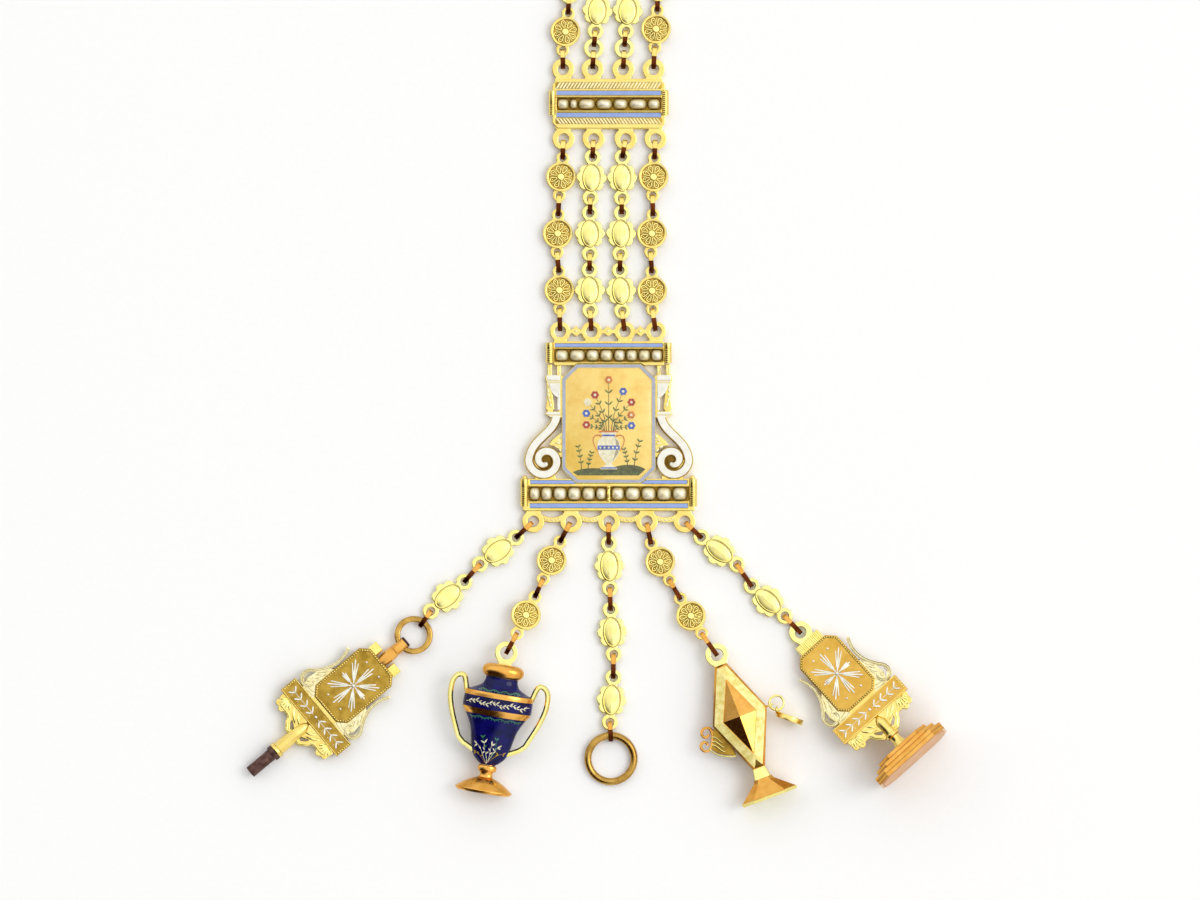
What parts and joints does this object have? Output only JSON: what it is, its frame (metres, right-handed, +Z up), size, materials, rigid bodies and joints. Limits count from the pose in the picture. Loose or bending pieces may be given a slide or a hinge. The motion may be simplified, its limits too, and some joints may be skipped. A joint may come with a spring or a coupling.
{
  "type": "watch chain",
  "caption": "Gold watch chain lying flat: strands of flat links, a pearl bar, an enamelled plaque and short drops with a key, urn, ring, lozenge charm and seal.",
  "frame": {"origin": "middle of the plaque's picture panel, on its back face, which lies on the surface", "axes": "+Y along the strands towards the clasp, +Z up from the surface, +X across the plaque"},
  "size_m": [0.126, 0.1644, 0.0116],
  "materials": {
    "gold": "polished and engraved",
    "blue_enamel": "glossy",
    "white_enamel": "glossy",
    "lilac_enamel": "glossy",
    "painted_enamel": "glossy, painted",
    "cobalt_enamel": "glossy, painted",
    "pearl": "pearly",
    "seal_stone": "polished",
    "steel": "darkened"
  },
  "bodies": {
    "chain": {"clasp": "gold", "bar_frame": "gold", "bar_enamel": "blue_enamel", "bar_pearls": "pearl", "plaque_frame": "gold", "plaque_blue_enamel": "blue_enamel", "plaque_white_enamel": "white_enamel", "plaque_pearls_upper": "pearl", "plaque_pearls_lower": "pearl", "panel_border": "lilac_enamel", "panel_picture": "painted_enamel", "strand1_link1": "gold", "strand1_link2": "gold", "strand1_link3": "gold", "strand1_link4": "gold", "strand2_link1": "gold", "strand2_link2": "gold", "strand2_link3": "gold", "strand2_link4": "gold", "strand3_link1": "gold", "strand3_link2": "gold", "strand3_link3": "gold", "strand3_link4": "gold", "strand4_link1": "gold", "strand4_link2": "gold", "strand4_link3": "gold", "strand4_link4": "gold", "drop_a_link1": "gold", "drop_a_link2": "gold", "drop_b_link1": "gold", "drop_b_link2": "gold", "drop_c_link1": "gold", "drop_c_link2": "gold", "drop_c_link3": "gold", "drop_d_link1": "gold", "drop_d_link2": "gold", "drop_e_link1": "gold", "drop_e_link2": "gold", "strand1_loops": "gold", "strand2_loops": "gold", "strand3_loops": "gold", "strand4_loops": "gold", "drop_a_loops": "gold", "drop_b_loops": "gold", "drop_c_loops": "gold", "drop_d_loops": "gold", "drop_e_loops": "gold", "key_ring": "gold", "key_collar": "gold", "urn_gold": "gold", "urn_enamel": "cobalt_enamel", "lozenge_body": "gold", "lozenge_ring": "gold", "lozenge_disc": "gold", "seal_plate": "gold", "seal_face": "seal_stone", "watch_ring": "gold"},
    "key": {"key_plate": "gold", "key_pipe": "steel"}
  },
  "joints": [
    {"name": "key_swivel", "type": "hinge", "parent": "chain", "child": "key", "pos_m": [-0.03824, -0.04067, 0.0015], "axis": [-0.766, -0.6428, 0], "continuous": true}
  ]
}
